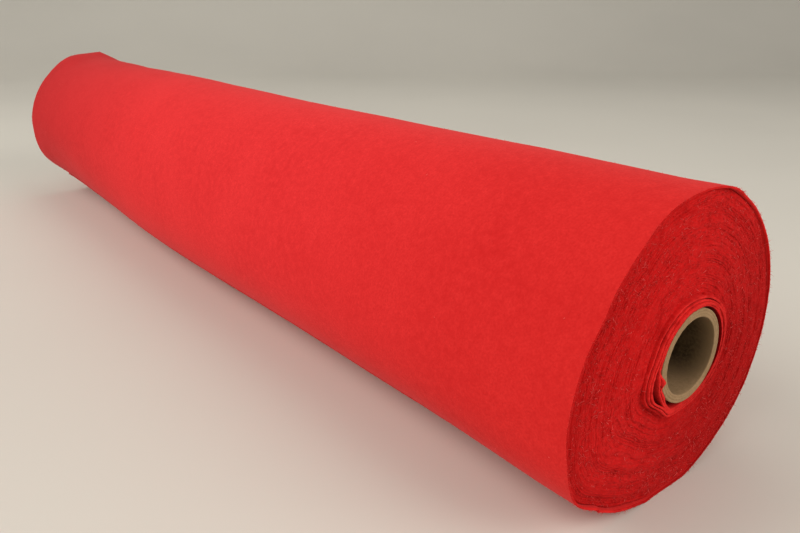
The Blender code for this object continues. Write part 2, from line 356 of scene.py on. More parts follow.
def hills(first, second, cells, seed):
    """Smooth random heights from -1 to 1: a lattice of random numbers, eased between its points.

    First and second run from nought to one over the lattice and wrap round.
    """
    table = np.random.default_rng(seed).uniform(-1.0, 1.0, cells)
    x, y = first * cells[0], second * cells[1]
    i, j = np.floor(x).astype(int), np.floor(y).astype(int)
    u, v = ease(x - i), ease(y - j)
    i, j, k, m = i % cells[0], j % cells[1], (i + 1) % cells[0], (j + 1) % cells[1]
    low = table[i, j] * (1.0 - u) + table[k, j] * u
    high = table[i, m] * (1.0 - u) + table[k, m] * u
    return low * (1.0 - v) + high * v


def line_hills(place, cells, seed):
    """The smooth random heights along one line that closes on itself."""
    return hills(place, 0.0 * place, (cells, 1), seed)


def rim_offsets(rows, angle):
    """How far a rim goes out along the axis and up off the roll at each angle."""
    out, lift = np.zeros_like(angle), np.zeros_like(angle)
    for centre, reach, row_out, row_lift in rows:
        shape = wave(angle, centre, reach)
        out = out + row_out * shape
        lift = lift + row_lift * shape
    return out, lift


def section_radius(roll, angle, turn, along):
    """The plain wound section: the egg, less one thickness along the last turn."""
    total = 1.0
    for waves, near_cos, near_sin, far_cos, far_sin in SECTION:
        phase = np.radians(angle) * waves
        total = total + (near_cos + (far_cos - near_cos) * along) * np.cos(phase)
        total = total + (near_sin + (far_sin - near_sin) * along) * np.sin(phase)
    return roll.radius * total + roll.thickness * (0.5 - turn)


def axis_height(roll, along):
    """The height at which the section sinks into the table by the depth of its flat."""
    angle = np.linspace(-180.0, 180.0, 721)
    along = np.asarray(along, float)
    lowest = section_radius(roll, angle, 0.5, along.reshape(-1, 1)) * np.sin(np.radians(angle))
    return (-lowest.min(axis=1) - roll.flat).reshape(along.shape)


def outside(roll, along, turn, depth):
    """Points on the outer turns, as (rows, columns, 3).

    The egg's radius, swells, rim lifts and soft ripples, less the depth, round an axis whose
    height keeps the bottom on the table.  X goes evenly from the near rim to the far rim.
    """
    along = np.asarray(along, float).reshape(-1, 1)
    turn = np.asarray(turn, float).reshape(1, -1)
    depth = np.asarray(depth, float).reshape(-1, 1)
    angle = roll.seam + 360.0 * turn
    near_out, near_lift = rim_offsets(NEAR_RIM, angle)
    far_out, far_lift = rim_offsets(FAR_RIM, angle)
    far_lift = far_lift + FAR_CUSP[2] * peak(angle, *FAR_CUSP[:2])
    radius = section_radius(roll, angle, turn, along)
    for place, place_reach, centre, reach, height in SWELLS:
        radius = radius + height * swell(along - place, place_reach) * wave(angle, centre, reach)
    radius = radius + near_lift * ease(1.0 - along * roll.width / roll.near_lift)
    radius = radius + far_lift * ease(1.0 - (1.0 - along) * roll.width / roll.far_lift)
    around = turn + 0.0 * along
    lengthwise = along * 0.999 + 0.0 * turn
    soft = hills(around, lengthwise, (14, 9), 3)
    fine = hills(around, lengthwise, (40, 46), 4)
    radius = radius + roll.ripple * (0.7 * soft + 0.3 * fine) - depth
    x = near_out + (roll.far_low - roll.width - far_out - near_out) * along
    direction = np.radians(angle)
    z = axis_height(roll, along) + radius * np.sin(direction)
    z = np.maximum(z, 0.0 * radius + depth)
    return np.stack([roll.near + x, roll.across + radius * np.cos(direction), z], axis=-1)


def grid(rows, columns, close_rows, close_columns):
    """Corner numbers of a grid of quads, with the last row or column joined to the first."""
    index = np.arange(rows * columns).reshape(rows, columns)
    if close_rows:
        index = np.vstack([index, index[:1]])
    if close_columns:
        index = np.hstack([index, index[:, :1]])
    return index


def quads(index, flip=False):
    """Quads between neighbouring rows and columns of corner numbers."""
    corners = [index[:-1, :-1], index[1:, :-1], index[1:, 1:], index[:-1, 1:]]
    if flip:
        corners.reverse()
    return np.stack(corners, axis=-1).reshape(-1, 4)


def add_piece(name, points, faces, caps=(), uv=None, attributes=None):
    """A mesh object from whole arrays: points (n, 3), quads or triangles (m, 4 or 3), end caps."""
    mesh = bpy.data.meshes.new(name)
    points = np.asarray(points, float).reshape(-1, 3)
    caps = [list(map(int, cap)) for cap in caps]
    corners = np.concatenate([faces.ravel()] + [np.array(cap) for cap in caps]).astype(np.int32)
    sizes = np.array([faces.shape[1]] * len(faces) + [len(cap) for cap in caps], np.int32)
    starts = np.concatenate([[0], np.cumsum(sizes)[:-1]]).astype(np.int32)
    mesh.vertices.add(len(points))
    mesh.vertices.foreach_set("co", points.astype(np.float32).ravel())
    mesh.loops.add(len(corners))
    mesh.loops.foreach_set("vertex_index", corners)
    mesh.polygons.add(len(sizes))
    mesh.polygons.foreach_set("loop_start", starts)
    mesh.update(calc_edges=True)
    if uv is not None:
        layer = mesh.uv_layers.new(name="UVMap")
        values = np.zeros((len(corners), 2), np.float32)
        values[: len(uv)] = uv
        layer.data.foreach_set("uv", values.ravel())
    for key, values in (attributes or {}).items():
        kind = "FLOAT_VECTOR" if np.ndim(values) == 2 else "FLOAT"
        field = "vector" if kind == "FLOAT_VECTOR" else "value"
        made = mesh.attributes.new(key, kind, "POINT")
        made.data.foreach_set(field, np.asarray(values, np.float32).ravel())
    if mesh.validate():
        raise RuntimeError(f"{name} has broken faces")
    mesh.shade_smooth()
    piece = bpy.data.objects.new(name, mesh)
    bpy.context.scene.collection.objects.link(piece)
    return piece


def dress(piece, surface, slot, *nodes):
    """Gives a piece its material and body, and hides the solids it stands for. Slot is not used."""
    piece.data.materials.append(surface)
    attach(piece, "root")
    if nodes:
        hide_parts(*nodes)
    return piece


def add_node(tree, kind, values=None, **settings):
    """Adds a shader node, sets its settings, and sets or links its inputs."""
    node = tree.nodes.new(kind)
    for key, value in settings.items():
        setattr(node, key, value)
    for key, value in (values or {}).items():
        if isinstance(value, bpy.types.NodeSocket):
            tree.links.new(value, node.inputs[key])
        else:
            node.inputs[key].default_value = value
    return node


def new_surface(name, **values):
    """An empty material with a Principled shader: returns the material, its tree and shader."""
    surface = bpy.data.materials.new(name)
    surface.use_nodes = True
    tree = surface.node_tree
    shader = tree.nodes["Principled BSDF"]
    for key, value in values.items():
        shader.inputs[key.replace("_", " ")].default_value = value
    return surface, tree, shader


def rgba(value):
    """A linear colour with its alpha, as a colour socket takes it."""
    return (*value, 1.0)


def coated(tree, base, *coats):
    """A base colour under coats of colour, each laid on where its pattern is strong.

    Each coat is a pattern, its value where the coat starts and where it is full, how much of the
    coat lies there, its colour and, where the coat only tints what is below, the blend mode.
    """
    # The mixer's sockets share names, so they go by number: share, first and second colour.
    for pattern, start, full, most, tint, *blend in coats:
        reach = {"Value": pattern, "From Min": start, "From Max": full, "To Max": most}
        amount = add_node(tree, "ShaderNodeMapRange", reach).outputs["Result"]
        layers = {0: amount, 6: base, 7: rgba(tint)}
        mode = blend[0] if blend else "MIX"
        base = add_node(tree, "ShaderNodeMix", layers, data_type="RGBA", blend_type=mode).outputs[2]
    return base


def cloudy(place, size, detail, rough=0.5):
    """Values for a cloudy pattern on a place, its lumps of a size in millimetres."""
    return {"Vector": place, "Scale": 1 / (size * MM), "Detail": detail, "Roughness": rough}


def finished(surface, tree, shader, tint, height, strength, depth):
    """Links the colour and a bump of the height pattern to the shader, and returns the material."""
    tree.links.new(tint, shader.inputs["Base Color"])
    values = {"Height": height, "Strength": strength, "Distance": depth * MM}
    bump = add_node(tree, "ShaderNodeBump", values)
    tree.links.new(bump.outputs["Normal"], shader.inputs["Normal"])
    return surface


def face_surface(looks):
    """Pressed wool-blend felt, its smooth side: matt, with a soft nap that catches pale light.

    The fibres are about 0.02 mm thick, too fine to show, so their tangle is drawn at 1.3 mm.
    """
    surface, tree, shader = new_surface(
        "pressed_felt_face",
        Roughness=0.93,
        Sheen_Weight=0.22,
        Sheen_Roughness=0.35,
        Sheen_Tint=rgba(looks.sheen),
        Specular_IOR_Level=0.18,
    )
    place = add_node(tree, "ShaderNodeTexCoord").outputs["Object"]
    tangle, cloud, slow = (
        add_node(tree, "ShaderNodeTexNoise", cloudy(place, *row)).outputs["Fac"]
        for row in ((1.3, 3.0, 0.6), (5.0, 4.0, 0.55), (70.0, 2.0))
    )
    along = add_node(tree, "ShaderNodeAttribute", attribute_name="along").outputs["Fac"]
    tint = coated(
        tree,
        rgba(looks.face_deep),
        (cloud, 0.2, 0.8, 1.0, looks.face),
        (slow, 0.35, 0.7, 0.6, looks.face),
        (tangle, 0.35, 0.75, 0.8, looks.face_deep),
        # Painted shade towards the near end, painted shade and painted sheen towards the far end.
        (along, 0.3, 0.0, 1.0, looks.near_shade_tint, "MULTIPLY"),
        (along, 0.6, 1.0, 1.0, looks.far_shade_tint, "MULTIPLY"),
    )
    return finished(surface, tree, shader, tint, tangle, 0.7, 0.4)


def edge_surface(looks):
    """Felt cut across its thickness: rough, torn-looking ends of fibres in bands, one to a turn.

    The attribute strip runs along the turns and then across them, so the streaks follow them.
    The attribute hollow_shade is painted light and shade: -1 a painted highlight on the edges'
    tops, 1 painted shade between two turns and 2 deeper painted shade where they have parted.
    The attribute lean is painted shade, darker on the right.
    The tufts of fibre ends are far finer than a pixel, so they are drawn at 1.3 mm.
    """
    surface, tree, shader = new_surface(
        "sheared_felt_edges",
        Roughness=1.0,
        Sheen_Weight=0.08,
        Sheen_Roughness=0.6,
        Sheen_Tint=rgba(looks.sheen),
        Specular_IOR_Level=0.04,
    )
    strip, hollow_shade, lean = (
        add_node(tree, "ShaderNodeAttribute", attribute_name=key).outputs
        for key in ("strip", "hollow_shade", "lean")
    )
    place = add_node(tree, "ShaderNodeTexCoord").outputs["Object"]
    one_to_one = 1.0 / MM
    streak, tuft, patch = (
        add_node(tree, "ShaderNodeTexNoise", values).outputs["Fac"]
        for values in (
            cloudy(strip["Vector"], one_to_one, 3.0),
            cloudy(place, 1.3, 2.5, 0.6),
            cloudy(place, 6.0, 3.0),
        )
    )
    tint = coated(
        tree,
        rgba(looks.edge),
        # Painted highlight, painted shade and deeper painted shade, laid on by hollow_shade.
        (hollow_shade["Fac"], 0.0, -1.0, 1.0, looks.edge_highlight),
        (hollow_shade["Fac"], 0.05, 0.95, 1.0, looks.edge_deep),
        (hollow_shade["Fac"], 1.0, 2.0, 1.0, looks.edge_cavity_shade),
        (streak, 0.45, 0.72, 0.5, looks.edge_deep),
        (tuft, 0.56, 0.74, 0.4, looks.edge_pale),
        (patch, 0.5, 0.7, 0.55, looks.edge_deep),
        # Painted shade on the right, by the attribute lean.
        (lean["Fac"], 0.0, 1.0, 1.0, looks.side_shade_tint, "MULTIPLY"),
    )
    return finished(surface, tree, shader, tint, tuft, 0.25, 0.5)


def fibre_surface(name, tint, looks):
    """Single wool fibres: soft and matt, with a pale glow where light grazes them."""
    return new_surface(
        name,
        Base_Color=rgba(tint),
        Roughness=0.9,
        Sheen_Weight=0.1,
        Sheen_Tint=rgba(looks.sheen),
        Specular_IOR_Level=0.05,
    )[0]


def paper_surface(looks):
    """Kraft paperboard, wound and cut: dull, with short pulp fibres and a line at each lap.

    The UV map runs once round the tube, and along it in laps.  A line lies where the sum is even.
    Pulp fibres are about 0.03 mm thick, too fine to show, so they are drawn at 1.6 mm.
    """
    surface, tree, shader = new_surface(
        "wound_kraft_paperboard", Roughness=0.82, Specular_IOR_Level=0.25
    )
    place = add_node(tree, "ShaderNodeTexCoord").outputs["Object"]
    inside = add_node(tree, "ShaderNodeAttribute", attribute_name="inside").outputs["Fac"]
    pulp, blotch = (
        add_node(tree, "ShaderNodeTexNoise", cloudy(place, *row)).outputs["Fac"]
        for row in ((1.6, 5.0, 0.65), (14.0, 3.0))
    )
    wind = add_node(tree, "ShaderNodeUVMap", uv_map="UVMap").outputs["UV"]
    split = add_node(tree, "ShaderNodeSeparateXYZ", {"Vector": wind}).outputs
    sum_of = {0: split["X"], 1: split["Y"]}
    wound = add_node(tree, "ShaderNodeMath", sum_of, operation="ADD").outputs[0]
    lap = add_node(tree, "ShaderNodeMath", {0: wound, 1: 1.0}, operation="PINGPONG").outputs[0]
    tint = coated(
        tree,
        rgba(looks.paper),
        # Painted shade in the bore.
        (inside, 0.0, 1.0, 1.0, looks.paper_inside_shade),
        (pulp, 0.42, 0.72, 0.6, looks.paper_deep),
        (blotch, 0.45, 0.7, 0.3, looks.paper_deep),
        (lap, 0.012, 0.0, 1.0, looks.paper_deep),
    )
    return finished(surface, tree, shader, tint, pulp, 0.35, 0.3)


def floor_surface(looks):
    """A painted table and backdrop: plain, pale and matt, with the faintest unevenness."""
    surface, tree, shader = new_surface(
        "matt_painted_backdrop", Roughness=0.7, Specular_IOR_Level=0.2
    )
    place = add_node(tree, "ShaderNodeTexCoord").outputs["Object"]
    cloud = add_node(tree, "ShaderNodeTexNoise", cloudy(place, 625.0, 2.0)).outputs["Fac"]
    darker = tuple(0.94 * value for value in looks.floor)
    tint = coated(tree, rgba(looks.floor), (cloud, 0.3, 0.7, 1.0, darker))
    tree.links.new(tint, shader.inputs["Base Color"])
    return surface


def along_stations(roll):
    """Shares of the length: close together near the rims, where they lift, even between."""
    even = np.linspace(0.0, 1.0, roll.stations)
    spread = even - 0.13 * np.sin(2.0 * np.pi * even) / 2.0
    rim = np.array([0.3, 1.2]) * MM / roll.width
    return np.sort(np.concatenate([spread, rim, 1.0 - rim]))


class OBJECT_OT_outer_wraps(bpy.types.Operator):
    """Adds the two outer turns, a closed skin whose cut rims stand past the rest"""

    bl_idname = "object.felt_outer_wraps"
    bl_label = "Outer wraps"

    def execute(self, context):
        """Rings over the outside, round the far rim, back inside and round the near rim."""
        scene = context.scene
        roll = scene.roll_sizes
        turn = np.append(np.arange(roll.columns) / roll.columns, 1.0 - 0.15 / 360.0)
        along = along_stations(roll)
        skin = outside(roll, along, turn, np.zeros_like(along))
        depths = np.array(LIP_DEPTHS) * MM
        outs = np.array(LIP_OUTS)[:, None] * MM
        outs = outs + 0.12 * MM * line_hills(turn[None, :] + 0.0 * outs, 96, 11)
        near = outside(roll, np.zeros_like(depths), turn, depths)
        near[..., 0] += outs
        far = outside(roll, np.ones_like(depths), turn, depths)
        far[..., 0] -= outs
        inner = outside(roll, INSIDE_STATIONS, turn, np.full(len(INSIDE_STATIONS), roll.lip))
        points = np.concatenate([skin, far, inner, near[::-1]])
        rows, columns = points.shape[:2]
        angle = roll.seam + 360.0 * turn + np.zeros((rows, 1))
        # The lip's cut edge gets painted shade, with a painted highlight at the top and lower left.
        bright = wave(angle, *HIGHLIGHT_TOP) + 0.9 * wave(angle, *HIGHLIGHT_LOW)
        attributes = strip_attributes(angle, 0.0 * angle, 0.45 - 1.05 * bright)
        shares = np.concatenate([along, np.ones(len(far)), INSIDE_STATIONS, np.zeros(len(near))])
        # Along lets the outside's material paint shade towards both ends.
        attributes["along"] = (shares[:, None] + 0.0 * angle).ravel()
        # Painted shade on the lower right of the lip's cut edge.
        attributes["lean"] = wave(angle, *RIM_SIDE_SHADE).ravel()
        faces = quads(grid(rows, columns, True, True))
        piece = add_piece("outer_wraps", points, faces, attributes=attributes)
        dress(piece, face_surface(scene.looks), "felt", "felt_roll")
        piece.data.materials.append(edge_surface(scene.looks))
        row = np.arange(rows)
        far_cut = (row >= len(skin)) & (row < len(skin) + len(far) - 1)
        near_cut = row >= len(skin) + len(far) + len(inner)
        slots = np.repeat((far_cut | near_cut).astype(np.int32), columns)
        piece.data.polygons.foreach_set("material_index", slots)
        return {"FINISHED"}


def end_strip(face, samples, columns):
    """The turns of an end face as one long strip, from under the lip to the inner turns.

    Row by row it crosses the edge of the felt, and the last column of a row is the first column
    of the row one turn further in.  Returns how far in each point lies in turns, its place along
    the strip in turns, its share of the way across its own edge, its share round, and the faces.
    """
    rows = (face.turns + 1) * samples + 1
    row = np.arange(rows)[:, None]
    column = np.arange(columns)[None, :]
    inward = row / samples - 1.0 + column / columns
    place = row // samples + column / columns
    across = (row % samples) / samples + 0.0 * column
    around = column / columns + 0.0 * row
    index = np.arange(rows * columns).reshape(rows, columns)
    joined = np.vstack([index[samples:, :1], np.full((samples, 1), -1)])
    faces = quads(np.hstack([index, joined]))
    faces = faces[(faces >= 0).all(axis=1)]
    return inward, place, across, around, faces


def edge_relief(face, inward, place, across, around, seed):
    """How far each point of a cut face stands out: bands, stray turns, creases and tufts."""
    random = np.random.default_rng(seed)
    part = inward / (face.turns + 1.0)
    band = hills(around, part, (9, 13), seed + 1) + 0.6 * hills(around, part, (16, 24), seed + 2)
    along = place / (face.turns + 2.0)
    stray = 0.0
    for row, (lumps, height) in enumerate(LUMPS):
        stray = stray + height * line_hills(along, lumps * (face.turns + 2), seed + 3 + row)
    gaping = ease(0.35 + 0.9 * hills(around, part, (13, 11), seed + 6))
    hollow_shade = np.abs(2.0 * across - 1.0) ** 3 * gaping
    grain = random.normal(0.0, 1.0, inward.shape)
    height = face.band * band + face.stray * stray - face.crease * hollow_shade + face.grain * grain
    # Second value: painted shade, darker in the creases between turns and the gutter under the lip.
    return height, np.maximum(0.7 * hollow_shade, ease(1.0 - (inward - around) / 0.9))


def strip_attributes(angle, inward, hollow_shade):
    """What the edge material reads: a place along and across the turns, and its painted light and
    shade.
    """
    direction = np.radians(angle)
    strip = np.stack([18.0 * np.cos(direction), 18.0 * np.sin(direction), 1.3 * inward], axis=-1)
    return {"strip": strip.reshape(-1, 3), "hollow_shade": hollow_shade.ravel()}


def mouth_radius(scene, angle):
    """The innermost turn's inner radius round the tube at the near end."""
    tube = scene.tube_sizes
    return tube.radius + tube.clearance + scene.inner_sizes.gap * wave(angle, *PULLED_AWAY)


def face_plan(scene, inward, around, rim, axis, ring, squeeze, *wavers):
    """How far in each point of an end face lies, and its place across the face.

    Each turn is a share of the way from under the lip, one thickness further in along the turn,
    to a ring round the tube.  Wavers are rows of height, cells and seed, in turns of the squeeze.
    """
    roll, face = scene.roll_sizes, scene.face_sizes
    arms = rim[:, 1:] - axis
    below = roll.lip - roll.thickness * around[0]
    outer = axis + arms * (1.0 - below / np.hypot(*arms.T))[:, None]
    direction = np.radians(roll.seam + 360.0 * around[0])
    centre = np.array([roll.across, scene.tube_sizes.height])
    spokes = np.stack([np.cos(direction), np.sin(direction)], axis=1)
    foot = centre + np.reshape(ring, (-1, 1)) * spokes
    part = inward / face.turns
    uneven = 0.0
    for height, cells, seed in wavers:
        uneven = uneven + height * hills(around, part * 0.98 + 0.01, cells, seed)
    part = part + squeeze / face.turns * uneven * np.sin(np.pi * np.clip(part, 0.0, 1.0)) ** 0.7
    return part, outer[None] + (foot - outer)[None] * part[..., None]


def near_face_points(scene, inward, around, height):
    """Points of the near face: from under the lip in to the ring round the inner turns."""
    roll, inner, face = scene.roll_sizes, scene.inner_sizes, scene.face_sizes
    angle = roll.seam + 360.0 * around
    rim = outside(roll, [0.0], around[0], [0.0])[0]
    axis = np.array([roll.across, scene.tube_sizes.height - roll.drop])
    ring = mouth_radius(scene, angle[0]) + inner.corner * wave(angle[0], *CORNER_ROOM)
    ring = ring + (inner.turns - 1.1) * roll.thickness + inner.pocket * wave(angle[0], *POCKET)
    squeeze = face.squeeze * (0.35 + wave(angle, *SQUEEZED))
    wavers = (1.0, (22, 7), 21), (0.5, (60, 10), 22)
    part, plan = face_plan(scene, inward, around, rim, axis, ring, squeeze, *wavers)
    proud = roll.overhang * (0.65 + 0.9 * wave(angle, *PROUD_LIP))
    proud = proud * (1.0 - (1.0 - roll.flush) * wave(angle, *FLUSH_LIP))
    proud = proud + face.gutter * ease(1.0 - (inward - around) / 0.9)
    set_back = np.minimum(rim[None, :, 0] - roll.near, 0.0) * (1.0 - part)
    x = roll.near + set_back - proud + roll.bulge * ease(part) + height
    return np.concatenate([x[..., None], plan], axis=-1)


def far_face_points(scene, inward, around, height):
    """Points of the far face: dished from the rim in to the tube."""
    roll, tube = scene.roll_sizes, scene.tube_sizes
    rim = outside(roll, [1.0], around[0], [0.0])[0]
    axis = np.array([roll.across, axis_height(roll, [1.0])[0]])
    snug = tube.radius + tube.clearance + roll.thickness
    squeeze, wavers = scene.face_sizes.squeeze, (1.0, (22, 7), 31)
    part, plan = face_plan(scene, inward, around, rim, axis, snug, squeeze, wavers)
    mouth = roll.near + roll.far_mouth - roll.width
    x = mouth + (rim[None, :, 0] + roll.overhang - mouth) * (1.0 - part) ** 2 - height
    return np.concatenate([x[..., None], plan], axis=-1)


def end_turns(scene, samples, columns, seed, make_points):
    """The strip of edges laid on an end face and raised by its relief."""
    face = scene.face_sizes
    inward, place, across, around, faces = end_strip(face, samples, columns)
    height, hollow_shade = edge_relief(face, inward, place, across, around, seed)
    points = make_points(scene, inward, around, height)
    return points, faces, scene.roll_sizes.seam + 360.0 * around, inward, around, hollow_shade


class OBJECT_OT_near_end(bpy.types.Operator):
    """Adds the near end: the cut edges of the wound turns"""

    bl_idname = "object.felt_near_end"
    bl_label = "Near end"

    def execute(self, context):
        """The near strip, its outermost turns given painted shade where they lie under the lip."""
        scene = context.scene
        face = scene.face_sizes
        points, faces, angle, inward, around, hollow_shade = end_turns(
            scene, face.samples, face.columns, 41, near_face_points
        )
        shaded_turns = 18.0
        shade = 0.5 * wave(angle, *SHADED) * ease(1.0 - (inward - around) / shaded_turns)
        hollow_shade = hollow_shade + (1.0 - hollow_shade) * shade
        attributes = strip_attributes(angle, inward, hollow_shade)
        # Painted shade on the right of the face.
        attributes["lean"] = wave(angle, *FACE_SIDE_SHADE).ravel()
        piece = add_piece("near_end_turns", points, faces, attributes=attributes)
        dress(piece, edge_surface(scene.looks), "felt")
        return {"FINISHED"}


class OBJECT_OT_far_end(bpy.types.Operator):
    """Adds the far end: the cut edges of the wound turns, set in towards the tube"""

    bl_idname = "object.felt_far_end"
    bl_label = "Far end"

    def execute(self, context):
        """The far strip, its faces turned round to point outwards."""
        scene = context.scene
        face = scene.face_sizes
        points, faces, angle, inward, _, hollow_shade = end_turns(
            scene, face.far_samples, face.far_columns, 51, far_face_points
        )
        attributes = strip_attributes(angle, inward, hollow_shade)
        piece = add_piece("far_end_turns", points, faces[:, ::-1], attributes=attributes)
        dress(piece, edge_surface(scene.looks), "felt")
        return {"FINISHED"}


def inner_path(scene, turn):
    """The inner side of the innermost turns: radius round the tube and how far out they stand.

    Each turn hugs the one inside it, steps over the inner cut end within a few degrees, and swings
    out round the slot beside that end, the folded corner and the pocket.
    """
    roll, inner = scene.roll_sizes, scene.inner_sizes
    angle = inner.start + 360.0 * turn
    layer = np.floor(turn) + ease((turn - np.floor(turn) - 0.95) / 0.05)
    second = np.clip(layer - 1.0, 0.0, 1.0)
    radius = mouth_radius(scene, angle) + layer * roll.thickness
    radius = radius + inner.corner * peak(angle, *CORNER) * (1.0 - 0.1 * second)
    radius = radius + inner.slot * np.clip(layer, 0.0, 1.0) * wave(angle, *CUT_END)
    radius = radius + inner.pocket * second * wave(angle, *POCKET)
    radius = radius + 0.5 * MM * ease((turn - 2.95) / 0.3)
    out = np.interp(turn, *np.transpose(COLLAR_RISE)) * MM
    flap = inner.flap * wave(angle, *FLAP_TIP) + 1.2 * MM * wave(angle, *FLAP_FOOT)
    out = out + np.clip(1.3 - turn, 0.0, 1.0) * flap
    out = out + 0.35 * MM * line_hills(turn / 5.0, 60, 61)
    radius = radius + 0.12 * MM * line_hills(turn / 5.0, 40, 62)
    return angle, radius, out, layer


class OBJECT_OT_inner_turns(bpy.types.Operator):
    """Adds the innermost turns of felt, standing out round the tube with their free end"""

    bl_idname = "object.felt_inner_turns"
    bl_label = "Inner turns"

    def execute(self, context):
        """The edge of one felt layer, an upright rounded profile carried along the inner spiral."""
        scene = context.scene
        roll, tube, inner = scene.roll_sizes, scene.tube_sizes, scene.inner_sizes
        turn = np.linspace(0.0, inner.turns, int(inner.turns * inner.step) + 1)
        angle, radius, out, layer = inner_path(scene, turn)
        side = np.array(EDGE_SIDES)[:, None]
        fall = np.array(EDGE_FALLS + EDGE_FALLS[::-1])[:, None] * MM
        apart = 0.2 + 0.8 * wave(angle, *PARTED) * ease(turn - 0.5) * ease((1.95 - turn) / 0.1)
        apart = np.maximum(apart, ease((turn - 2.6) / 0.2) * ease((3.5 - turn) / 0.3))
        x = out - np.where(fall < 2.0 * MM, fall * apart, fall)
        random = np.random.default_rng(63)
        x = x + 0.10 * MM * random.normal(0.0, 1.0, x.shape) * (fall < 0.5 * MM)
        snug = tube.radius + tube.clearance + layer * roll.thickness
        hugging = snug + (radius - snug) * ease(1.0 + np.minimum(x, 0.0) / inner.hug)
        lean = 1.3 * MM * wave(angle, *FLAP_LEAN) * np.clip(1.0 - turn, 0.0, 1.0)
        hugging = hugging - lean * ease((x - 5.6 * MM) / (2.0 * MM))
        r = hugging + (1.02 - 0.06 * apart) * roll.thickness * side
        direction = np.radians(angle)
        y = roll.across + r * np.cos(direction)
        z = tube.height + r * np.sin(direction)
        points = np.stack([roll.near + x, y, z], axis=-1)
        index = grid(*points.shape[:2], True, False)
        ends = [index[:-1, 0][::-1], index[:-1, -1]]
        hollow_shade = self.hollow_shade(angle, turn, side, fall)
        attributes = strip_attributes(angle + 0.0 * x, turn + 2.0 * side + 0.4 * fall / MM, hollow_shade)
        # Painted shade on the right of the collar.
        attributes["lean"] = (wave(angle, *FACE_SIDE_SHADE) + 0.0 * x).ravel()
        piece = add_piece("inner_turns", points, quads(index), caps=ends, attributes=attributes)
        dress(piece, edge_surface(scene.looks), "felt")
        return {"FINISHED"}

    @staticmethod
    def hollow_shade(angle, turn, side, fall):
        """Painted light and shade: a painted highlight on the edges, painted shade below them,
        deeper in the slot and pocket.
        """
        inward = side < 0.1
        highlight = 0.9 - 0.9 * ease((turn - 3.6) / 0.8)
        shaded = 2.3 * (side < 0.5) * ease((turn - 0.70) / 0.12) * ease((1.0 - turn) / 0.03)
        slot = 2.0 * inward * ease((turn - 0.35) / 0.1) * ease((0.9 - turn) / 0.1)
        shaded = np.maximum(shaded, slot * ease(fall / (1.0 * MM)))
        pocket = 2.4 * inward * wave(angle, *POCKET_SHADE) * ease((turn - 1.8) / 0.2)
        pocket = pocket * ease(fall / (1.2 * MM))
        return (1.0 + highlight) * ease(fall / (6.0 * MM)) - highlight + shaded + pocket


class OBJECT_OT_paper_tube(bpy.types.Operator):
    """Adds the cardboard tube, wound from paper strips, with its plies showing at the cut ends"""

    bl_idname = "object.felt_paper_tube"
    bl_label = "Cardboard tube"

    def execute(self, context):
        """A closed profile of wall and softened, ply-lined ends, turned round the tube's axis."""
        scene = context.scene
        tube, roll = scene.tube_sizes, scene.roll_sizes
        inner = tube.radius - tube.wall
        span = tube.near - tube.far
        end = [(depth * MM, back * MM + ply * tube.ply) for depth, back, ply in TUBE_END]
        mouth = np.array(TUBE_MOUTH) * MM / span
        walls = np.concatenate([mouth, np.linspace(0.0, 1.0, 26)[1:-1], 1.0 - mouth[::-1]])
        profile = [(tube.near - back, tube.radius - depth) for depth, back in end]
        profile += [(tube.near - w * span, inner) for w in walls]
        profile += [(tube.far + back, tube.radius - depth) for depth, back in end[::-1]]
        profile += [(tube.far + w * span, tube.radius) for w in walls]
        profile = np.array(profile)
        around = np.arange(tube.sides) / tube.sides
        direction = 2.0 * np.pi * around[None, :]
        radius = profile[:, 1:] + 0.0 * direction
        circle = around[None, :] + 0.0 * radius
        radius = radius + 0.06 * MM * line_hills(circle, 5, 71)
        x = profile[:, :1] + 0.05 * MM * line_hills(circle, 60, 72)
        y = roll.across + radius * np.cos(direction)
        z = tube.height + radius * np.sin(direction)
        points = np.stack([x, y, z], axis=-1)
        u = np.append(around, 1.0)[None, :] + np.zeros((len(profile) + 1, 1))
        v = np.append(profile[:, 0], profile[0, 0])[:, None] / tube.lap + 0.0 * u
        uv = np.stack([u, v], axis=-1)
        corner_uv = np.stack([uv[:-1, :-1], uv[1:, :-1], uv[1:, 1:], uv[:-1, 1:]], axis=-2)
        # Painted shade in the bore: some at the mouth, all of it 12 mm in, less where light reaches.
        deep = np.minimum(tube.near - profile[:, :1], profile[:, :1] - tube.far)
        inside = (profile[:, 1:] < inner + 0.3 * MM) * (0.4 + 0.6 * ease(deep / (12.0 * MM)))
        inside = inside * (1.0 - 0.9 * wave(np.degrees(direction), *BORE_LIGHT))
        piece = add_piece(
            "paper_tube",
            points,
            quads(grid(*points.shape[:2], True, True)),
            uv=corner_uv.reshape(-1, 2),
            attributes={"inside": inside.ravel()},
        )
        dress(piece, paper_surface(scene.looks), "paperboard", "core_tube")
        return {"FINISHED"}


def unit(rows):
    """Each row at length one."""
    return rows / np.linalg.norm(rows, axis=1, keepdims=True)


